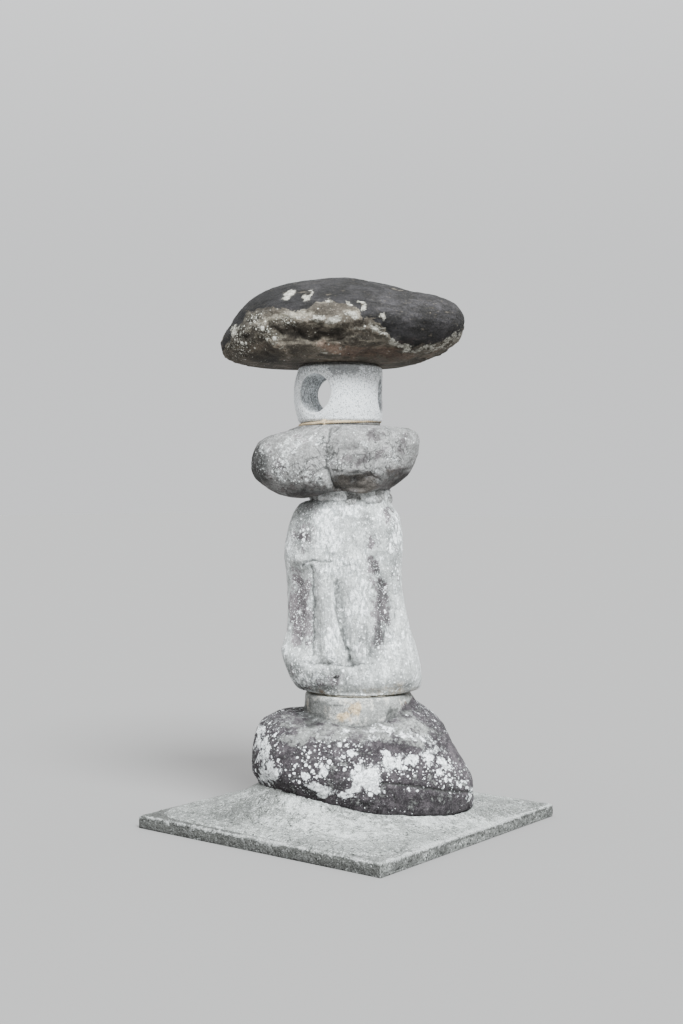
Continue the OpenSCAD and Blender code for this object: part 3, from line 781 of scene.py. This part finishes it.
# Dark purple-grey skin, and painted shade in the recessed left facet, along the left leg's flank, in
# the pit and at the foot
SHAFT_DARK_AND_SHADED = [(300, 610, 16, 58), (312, 630, 3, 30), (302, 536, 7, 10, 15), (371, 541, 8, 15),
              (372, 566, 10, 12, -40), (380, 590, 10, 24, -12), (381, 618, 10, 32, -4),
              (379, 642, 7, 14, 10), (388, 512, 6, 9, -10), (335.6, 678, 6, 3, -20), (396, 578, 3, 6),
              (303, 690, 20, 5, 15)]
SHAFT_MOTTLE = [(304, 528, 17, 40, 5), (308, 505, 14, 16, 10), (316, 682, 36, 16, 8), (340, 676, 20, 8),
                (366, 520, 10, 14), (296, 668, 12, 12, 20), (366, 640, 14, 22), (394, 540, 10, 40)]
SHAFT_GREEN = [(325, 592, 9, 18), (346, 588, 7, 14), (352, 548, 14, 9, 10), (354, 660, 9, 12),
               (345, 688, 56, 12), (396, 600, 13, 60), (322, 672, 26, 8), (400, 668, 22, 26),
               (378, 655, 10, 18), (391, 520, 12, 22)]
SHAFT_TONES = dict(
    body=((0.305, 0.317, 0.31), (0.41, 0.424, 0.415), (0.58, 0.6, 0.59)),
    skin=((0.156, 0.133, 0.143), (0.254, 0.231, 0.241)),
    crust=((0.36, 0.385, 0.385), (0.95, 0.975, 0.98)),
    spots=((0.84, 0.865, 0.87), (0.95, 0.975, 0.98), 0.024), stain=(0.33, 0.26, 0.17),
    streak=(1, 1, 2.2), speckle=0.6)


def shaft():
    rock = Sculpture("shaft_rock", "shaft_stone", grain=0.0058)
    height = rock.points[:, 2]
    up = height - rock.low[2]
    settle = ease(0, 0.02, up) * ease(0, 0.02, rock.high[2] - height)
    drawn_out = rock.points * [1, 1, 0.4]
    wander = drift(rock, (1.5, 1.2), 31)
    depth = 0.0035 * rock.rough(0.18, 3, 32) + 0.002 * rough(drawn_out, 0.05, 3, 33)
    for line, width, rise in SHAFT_SWELLS:
        depth += rise * ease(0, 1, near_line(rock.places, line, width)) * rock.facing
    rock.push(settle * depth)
    depth = (0.0013 * rock.rough(0.028, 4, 35) + 0.002 * chips(rock.points, 0.09, 6)
             - carved(rock, SHAFT_GROOVES, wander))
    for blob, cut in SHAFT_DENTS:
        depth -= cut * dent(rock, blob)
    rock.push(depth * settle)

    wander = drift(rock, (5, 6), 37)
    white = patches(rock, SHAFT_WHITE, wander)
    dark = patches(rock, SHAFT_DARK_AND_SHADED, wander)
    green = patches(rock, SHAFT_GREEN, wander)
    mottle = patches(rock, SHAFT_MOTTLE, wander)
    back = np.clip(0.5 + 0.9 * rough(drawn_out, 0.16, 4, 36), 0, 1)
    rock.keep("skin", seen_or(rock, np.maximum(0.82 * dark, 0.3 * mottle), 0.55 * back))
    rock.keep("crust", seen_or(rock, 0.42 + 0.5 * white - 0.42 * dark - 0.15 * green - 0.3 * mottle,
                               0.6 - 0.5 * back))
    rock.keep("spots", seen_or(rock, 0.42 + 0.15 * dark + 0.15 * mottle, 0.5))
    rock.keep("stain", 0.3 * ease(0.05, 0, up) + 0.2 * patches(rock, SHAFT_RUST))
    # Brightness, with painted shade in the shaded marks
    keep_tone_and_shade(rock, 1.14 + 0.1 * white - 0.4 * dark - 0.15 * green - 0.5 * mottle
              + 0.25 * rough(drawn_out, 0.03, 4, 38), 0.45)
    keep_hollows(rock)
    rock.dress(rock_paint("shaft_paint", **SHAFT_TONES))


# The base

BASE_FISSURES = [([(380, 783.5), (400, 784.5), (420, 787), (440, 791), (472, 793.5)], 2.8, 0.012)]
BASE_SWELL = (366, 801, 12, 4, 5)
BASE_HOLLOW = (310, 720, 9, 9)
BASE_LIT = [(459, 762, 17, 36, -14)]
BASE_WHITE = [(259, 738, 7, 16, 8), (267, 752, 7, 11), (272, 771, 10, 15, -10), (262, 776, 5, 13),
              (260, 757, 4, 8), (365, 778, 20, 18), (353, 790, 10, 6), (392, 762, 13, 10),
              (412, 760, 9, 9), (428, 757, 9, 9, 20), (444, 764, 9, 9, 20), (469, 794, 4, 12),
              (320, 788, 20, 7, 22), (388, 752, 8, 5), (322, 770, 7, 7, 40), (345, 797, 16, 5, 10),
              (376, 790, 10, 6)]
BASE_GREY = [(410, 736, 24, 9, 12), (430, 745, 16, 8, 20), (348, 731, 10, 4), (380, 730, 20, 6),
             (384, 743, 28, 8, 6)]
BASE_SPOTTED = [(302, 765, 34, 30), (338, 752, 40, 26), (365, 775, 40, 26), (410, 765, 46, 22),
                (450, 775, 26, 26), (270, 755, 18, 40)]
BASE_TOP = [(344, 726, 84, 20, 4), (300, 738, 22, 9, -10), (400, 724, 46, 20, 24)]
# The round seat that is dressed on the base, in metres of the stack's frame
SEAT_MIDDLE = 0.037
SEAT_RADIUS = 0.2315
SEAT_RUST = [(343, 716, 9, 6, -20), (356, 709, 10, 9)]
# Dark grey marks beside the neck, and painted shade in the hollow to its left
SEAT_GRIME_AND_SHADE = [(314, 711, 26, 19), (311, 719, 9, 12, 20), (392, 716, 8, 10, 30)]
# A dark line of painted shade in a notch on the neck
SEAT_NICK = [(324, 705), (342, 705.5)]
BASE_BARE = [(425, 803, 56, 13, 3), (398, 745, 42, 9, 3), (290, 804, 50, 9, 14), (288, 755, 8, 22, 10),
             (458, 752, 12, 18, -14)]
BASE_TONES = dict(
    body=((0.148, 0.15, 0.143), (0.25, 0.254, 0.243), (0.38, 0.386, 0.372)),
    skin=((0.0165, 0.0133, 0.0158), (0.054, 0.046, 0.051)),
    crust=((0.52, 0.535, 0.54), (0.92, 0.945, 0.955)),
    spots=((0.66, 0.68, 0.69), (0.92, 0.945, 0.955), 0.045), stain=(0.36, 0.25, 0.12), skin_edge=0.28)


def base():
    rock = Sculpture("base_rock", "base_stone", grain=0.0066)
    lift = rock.lift()
    beside = np.hypot(rock.points[:, 0] - SEAT_MIDDLE, rock.points[:, 1]) - SEAT_RADIUS
    seat = ease(0.014, 0, beside) * ease(0.7, 0.78, lift)
    settle = (1 - 0.5 * seat) * ease(0, 0.04, lift) * ease(1, 0.98, lift)
    wander = drift(rock, (1.6, 1.2), 41)
    rock.push(settle * 0.006 * rock.rough(0.2, 3, 42))
    rock.push(settle * (0.002 * rock.rough(0.035, 4, 43) + 0.004 * chips(rock.points, 0.12, 8)
                        - carved(rock, BASE_FISSURES, wander)
                        + 0.006 * dent(rock, BASE_SWELL) - 0.01 * dent(rock, BASE_HOLLOW)))

    foot = ease(0.3, 0.16, lift) * (1 - rock.facing)
    top = ease(0.25, 0.75, rock.normals[:, 2]) * (1 - seat)
    bare = np.maximum.reduce([0.9 * patches(rock, BASE_BARE, wander), foot, seat])
    wander = drift(rock, (6, 5), 48)
    white = patches(rock, BASE_WHITE, wander)
    grey = patches(rock, BASE_GREY, wander)
    spotted = patches(rock, BASE_SPOTTED)
    back = np.clip(0.45 + 0.9 * rock.rough(0.16, 4, 46), 0, 1)
    upper = seen_or(rock, patches(rock, BASE_TOP, wander), 0.5 * top)
    rock.keep("skin", 1 - 1.2 * seat - 0.62 * upper)
    crust = seen_or(rock, 0.9 * white + 0.46 * grey + 0.14 * top, 0.55 * back)
    spots = seen_or(rock, 0.25 + 0.44 * spotted - 0.25 * upper, 0.35 + 0.5 * back)
    rock.keep("crust", crust * (1 - bare))
    rock.keep("spots", spots * (1 - bare))
    rust = patches(rock, SEAT_RUST, 0.5 * wander)
    grime_and_shade = np.maximum(patches(rock, SEAT_GRIME_AND_SHADE, wander), near_line(rock.places, SEAT_NICK, 2.5))
    rock.keep("stain", seat * (0.1 + 0.8 * rust))
    # Brightness: painted light on the lit facet, the paler seat, and darker marks with painted shade
    # beside the neck
    keep_tone_and_shade(rock, 1 + 0.6 * patches(rock, BASE_LIT) + 0.5 * seat - 0.95 * grime_and_shade * rock.facing, 0.35)
    keep_hollows(rock)
    rock.dress(rock_paint("base_paint", **BASE_TONES))


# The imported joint, the mortar and the concrete

PACKING_TONES = dict(
    body=((0.52, 0.53, 0.525), (0.68, 0.69, 0.685), (0.82, 0.835, 0.835)),
    skin=((0.26, 0.26, 0.26), (0.46, 0.46, 0.46)), crust=((0.54, 0.555, 0.55), (0.88, 0.9, 0.9)),
    spots=((0.7, 0.715, 0.71), (0.88, 0.9, 0.9), 0.02), stain=(0.2, 0.17, 0.13))


def spread_foot(rock, reach):
    """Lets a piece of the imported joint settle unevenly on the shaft's shoulder."""
    foot = ease(0.7, 0, rock.lift())
    rock.push(reach * foot * np.clip(0.6 + 1.2 * rock.rough(0.07, 3, 55), 0, 1.6))


def packing():
    paint = rock_paint("packing_paint", **PACKING_TONES)
    count = sum(thing.name.startswith("packing_stone_") for thing in bpy.data.objects)
    for number in range(1, count + 1):
        rock = Sculpture(f"packing_rock_{number}", f"packing_stone_{number}", grain=0.0035, soften=8)
        spread_foot(rock, 0.014)
        rock.push(0.009 * rock.rough(0.05, 3, 60 + number) + 0.001)
        rock.push(0.004 * chips(rock.points, 0.03, number))
        patchy = rock.rough(0.04, 3, 70 + number)
        rock.keep("skin", 0.15 + 0.5 * patchy)
        rock.keep("crust", 0.75 - 0.6 * patchy)
        for kept, value in (("spots", 0.3), ("stain", 0.1), ("tone", 1)):
            rock.keep(kept, value)
        keep_hollows(rock, 4, 0.003)
        rock.dress(paint)


PALE_MORTAR = ((0.4, 0.4, 0.39), (0.58, 0.585, 0.575), (0.78, 0.79, 0.785))
GREY_MORTAR = ((0.17, 0.165, 0.155), (0.26, 0.255, 0.24), (0.36, 0.355, 0.34))
WARM_MORTAR = ((0.16, 0.145, 0.115), (0.25, 0.23, 0.19), (0.36, 0.34, 0.29))
MOUND_TONES = ((0.136, 0.141, 0.132), (0.23, 0.24, 0.227), (0.5, 0.515, 0.5))
SLAB_TONES = ((0.106, 0.11, 0.103), (0.176, 0.181, 0.171), (0.45, 0.46, 0.447))
# The tone of the wet sides, also painted shade on them
SLAB_SIDE_TONE = (0.029, 0.0285, 0.026)


def mortar_core():
    core = Sculpture("packing_filling", "packing_mortar", grain=0.004)
    spread_foot(core, 0.016)
    core.push(0.008 + 0.012 * core.rough(0.045, 4, 80))
    core.keep("damp_and_shade", 0.5 + core.rough(0.05, 3, 81))
    core.keep("worn", 0)
    keep_dirt_and_shade(core, 0.004)
    core.dress(concrete_paint("packing_filling_paint", PALE_MORTAR, 0.008))


ROPE_SIDES = 8


def show(name, points, faces, paint, node):
    """A piece of these points and faces, in the row's frame, in the place of a node. It is
    smooth, apart from the many-sided ends of a bed."""
    mesh = bpy.data.meshes.new(name)
    mesh.from_pydata(points.tolist(), [], faces)
    mesh.polygons.foreach_set("use_smooth", [len(face) <= ROPE_SIDES for face in faces])
    mesh.materials.append(paint)
    thing = add(name, mesh)
    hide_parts(node)
    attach(thing, "root")
    return mesh


def tube(rings, around, first=0):
    """The faces that join rings of points from the given first one, with both ends closed."""
    last = first + (rings - 1) * around
    faces = []
    for ring in range(first, last, around):
        for side in range(around):
            after = (side + 1) % around
            faces.append((ring + side, ring + after, ring + around + after, ring + around + side))
    return faces + [tuple(range(first, first + around))[::-1], tuple(range(last, last + around))]


def mortar_bed(name, node, tones, ragged=0.004):
    """A round bed of mortar, pressed out unevenly between two seats."""
    low, high = np.array(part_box(node))
    middle = (low + high) / 2
    radius = (high[0] - low[0]) / 2
    around, rows = 280, 9
    turns = np.linspace(0, 2 * math.pi, around, endpoint=False)
    points = []
    for share in np.linspace(0, 1, rows):
        spots = np.column_stack((np.cos(turns), np.sin(turns), np.full(around, share)))
        belly = math.sin(math.pi * share) ** 0.5
        bulge = ragged * (rough(spots * [radius, radius, 0.01], 0.04, 4, 90) + 0.7) * belly
        reach = radius + bulge[:, None] - 0.0015 * (1 - belly)
        points.append(middle[:2] + spots[:, :2] * reach)
    heights = np.repeat(np.linspace(low[2], high[2], rows), around)
    mesh = show(name, np.column_stack((np.vstack(points), heights)), tube(rows, around),
                concrete_paint(name + "_paint", tones, 0.006), node)
    for kept, value in (("damp_and_shade", 0.3), ("worn", 0.1), ("dirt_and_shade", 0.1)):
        store(mesh, kept, value)


MOUND_PALE = [(306, 808, 34, 9, 16), (352, 828, 70, 16, 4), (440, 822, 60, 10), (280, 800, 10, 5, 20)]
RIM_DEPTH = 0.04
MOUND_DARK = [(236, 812, 36, 18, -10)]
SLAB_PALE = [(476, 824, 66, 18), (410, 840, 60, 12), (250, 812, 30, 8)]
SEAM_DROP = 0.016
SLAB_DARK = [(190, 822, 90, 26), (310, 862, 60, 12), (500, 846, 30, 8)]


def mound():
    """The mortar's thin rim is made thick enough to carve, down inside the slab."""
    def deepen(points):
        return [(x, y, z if z > SLAB_TOP + 0.001 else SLAB_TOP - RIM_DEPTH) for x, y, z in points]

    body = Sculpture("mortar_apron", "mortar_mound", grain=0.0095, soften=3, reshape=deepen)
    upper = ease(-0.01, 0.003, body.points[:, 2] - SLAB_TOP)
    body.push(upper * (0.0025 * body.rough(0.12, 4, 100) + 0.0012 * body.rough(0.03, 3, 101) - 0.001))
    steep = ease(0.99, 0.9, body.normals[:, 2]) * upper
    pale = patches(body, MOUND_PALE, drift(body, (8, 4), 104))
    dark = patches(body, MOUND_DARK, drift(body, (8, 4), 105))
    body.keep("damp_and_shade", 0.26 + 0.4 * body.rough(0.25, 4, 102) - 0.5 * pale + 0.4 * dark)
    body.keep("worn", 0.2 * steep + 0.25 * body.rough(0.2, 3, 103) + 0.6 * pale)
    keep_dirt_and_shade(body)
    body.dress(concrete_paint("mortar_apron_paint", MOUND_TONES, 0.013))


def slab():
    body = Sculpture("cast_slab", "concrete_slab", grain=0.0095, soften=2)
    across = to_row(body.points)
    edge = across[:, 0].max() - np.abs(across[:, :2]).max(axis=1)
    near_top = ease(SLAB_TOP - 0.025, SLAB_TOP, across[:, 2])
    wear = ease(0.03, 0, edge) * near_top * np.clip(0.5 + body.rough(0.1, 4, 110), 0, 1)
    sides = ease(0.004, 0, edge)
    line = across[:, 2] - SLAB_TOP + SEAM_DROP + 0.003 * body.rough(0.15, 3, 111)
    seam = ease(0.006, 0, np.abs(line)) * sides
    free = ease(0, 0.006, across[:, 2])
    body.push(free * (0.0016 * body.rough(0.03, 4, 112) - 0.007 * wear - 0.004 * seam
                      - sides * 0.003 * np.clip(body.rough(0.08, 3, 113), 0, 1) - 0.0015))
    shaded = patches(body, SLAB_DARK, drift(body, (10, 5), 116)) * (1 - sides)
    # Sides facing the key light stay lighter, as painted light and because they are less wet
    dry_and_lit = ease(0.4, 0.9, to_row(body.normals)[:, 0])
    weather_and_shade = 1 - 0.7 * dry_and_lit + 0.4 * body.rough(0.06, 4, 114, [1, 1, 0.3])
    # Darker where wet, along the seam, and as painted shade on the sides and the shaded patches
    body.keep("damp_and_shade", sides * weather_and_shade + 0.2 + 0.8 * seam + 0.75 * shaded)
    pale = patches(body, SLAB_PALE, drift(body, (8, 4), 115)) * (1 - sides)
    body.keep("worn", ease(0.028, 0, edge) * near_top * 0.8 + 0.75 * pale)
    keep_dirt_and_shade(body)
    body.dress(concrete_paint("cast_slab_paint", SLAB_TONES, 0.013, SLAB_SIDE_TONE))


# The light chamber and its rope

CHAMBER_GRIME = [(345, 364, 20, 13)]


def chamber():
    body = Sculpture("carved_chamber", "light_chamber", grain=0.0034, soften=2)
    middle = to_stack([(body.low + body.high) / 2])[0]
    inward = -(body.normals * (body.points - middle))[:, :2].sum(axis=1)
    inside = ease(0, 0.04, inward)
    body.push(0.0008 * body.rough(0.02, 3, 120) + 0.001 * body.rough(0.08, 2, 121)
              - inside * 0.0012 * np.clip(body.rough(0.012, 2, 122, [1, 1, 0.5]), 0, 1))
    lift = body.lift()
    drips = ease(0.55, 1.05, lift + 0.15 * body.rough(0.03, 3, 123, [1, 1, 0.2]))
    stain = (0.7 * patches(body, CHAMBER_GRIME, drift(body, (5, 6), 124))
             + 0.58 * drips + 0.3 * ease(0.14, 0, lift))
    # The inner faces of the windows are darkened as painted shade, on top of the stains
    body.keep("stain", stain + 0.34 * inside)
    body.keep("inside", 0.7 * inside)
    keep_hollows(body, 4, 0.0015)
    body.keep("worn", ease(0.0002, 0.0012, -body.hollows(6)))
    body.dress(granite_paint())


ROPE_THICK = 0.0125
LAY_LENGTH = 0.034
STRAND_SHARE = 0.27
ROPE_TURNS = 1.62
KNOT_AT = -0.62 * math.pi
KNOT_TURNS = 1.6
# How far the knot's hoops reach outwards, upwards and along the rope
KNOT_REACH = (0.011, 0.0125, 0.012)


def twist(path, outward, thick):
    """A rope of three strands along a path, with outward across it at each point."""
    along = np.gradient(path, axis=0)
    along /= np.linalg.norm(along, axis=1)[:, None]
    upward = np.cross(along, outward)
    upward /= np.linalg.norm(upward, axis=1)[:, None]
    outward = np.cross(upward, along)
    steps = np.linalg.norm(np.diff(path, axis=0), axis=1)
    length = np.concatenate(([0], np.cumsum(steps)))
    turns = np.linspace(0, 2 * math.pi, ROPE_SIDES, endpoint=False)
    count = len(path)
    radius = STRAND_SHARE * thick
    ripples = radius * (1 + 0.14 * np.sin(5 * turns + 0.8 * np.arange(count)[:, None]))
    ring = (outward[:, None, :] * np.cos(turns)[None, :, None]
            + upward[:, None, :] * np.sin(turns)[None, :, None])
    points, faces = [], []
    for strand in range(3):
        angle = 2 * math.pi * (length / LAY_LENGTH + strand / 3)[:, None]
        centre = path + radius * (outward * np.cos(angle) + upward * np.sin(angle))
        points.append((centre[:, None, :] + ring * ripples[:, :, None]).reshape(-1, 3))
        faces += tube(count, ROPE_SIDES, strand * count * ROPE_SIDES)
    return np.vstack(points), faces


def rope():
    """A tight straw rope of three strands, with a second strand round the left and a knot."""
    low, high = np.array(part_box("straw_rope"))
    middle = to_stack([(low + high) / 2])[0]
    ring = (high[0] - low[0]) / 2 - (high[2] - low[2]) / 2
    turns = np.linspace(KNOT_AT - 2 * math.pi * ROPE_TURNS, KNOT_AT, 1400)
    late = ease(KNOT_AT - 2.1 * math.pi, KNOT_AT - 1.9 * math.pi, turns)
    spread = np.cos(turns - KNOT_AT - math.pi * 0.95)
    rise = 0.0065 * (2 * late - 1) * ease(-0.6, 0.4, spread) + 0.007 * np.sin(turns + 2.1) + 0.003
    out = ring + 0.0012 * np.sin(3 * turns + 1) - 0.003 * late
    spine = np.column_stack((np.cos(turns), np.sin(turns), 0 * turns))
    wound = middle + spine * out[:, None] + np.outer(rise, (0, 0, 1))
    points, faces = twist(wound, spine, ROPE_THICK)

    bend = np.linspace(0, 2 * math.pi * KNOT_TURNS, 160)
    radial = np.array((math.cos(KNOT_AT), math.sin(KNOT_AT), 0))
    beside = np.array((-radial[1], radial[0], 0))
    deep, tall, wide = KNOT_REACH
    hoop = (radial * np.cos(bend)[:, None] * deep + np.outer(np.sin(bend), (0, 0, tall))
            + beside * (bend[:, None] / 10 - 0.5) * wide)
    tied, tied_faces = twist(middle + ring * radial + hoop, hoop, 0.8 * ROPE_THICK)
    faces += [tuple(len(points) + corner for corner in face) for face in tied_faces]
    show("twisted_rope", to_row(np.vstack((points, tied))), faces, straw_paint(), "straw_rope")


build_stage()
place_camera()
cap()
chamber()
rope()
platform()
packing()
mortar_core()
shaft()
base()
mound()
slab()
# The cap bed is dark grey, partly as painted shade under the cap
mortar_bed("cap_bed", "cap_bed_mortar", GREY_MORTAR)
mortar_bed("chamber_bed", "chamber_bed_mortar", GREY_MORTAR)
mortar_bed("shaft_bed", "shaft_bed_mortar", WARM_MORTAR, 0.012)
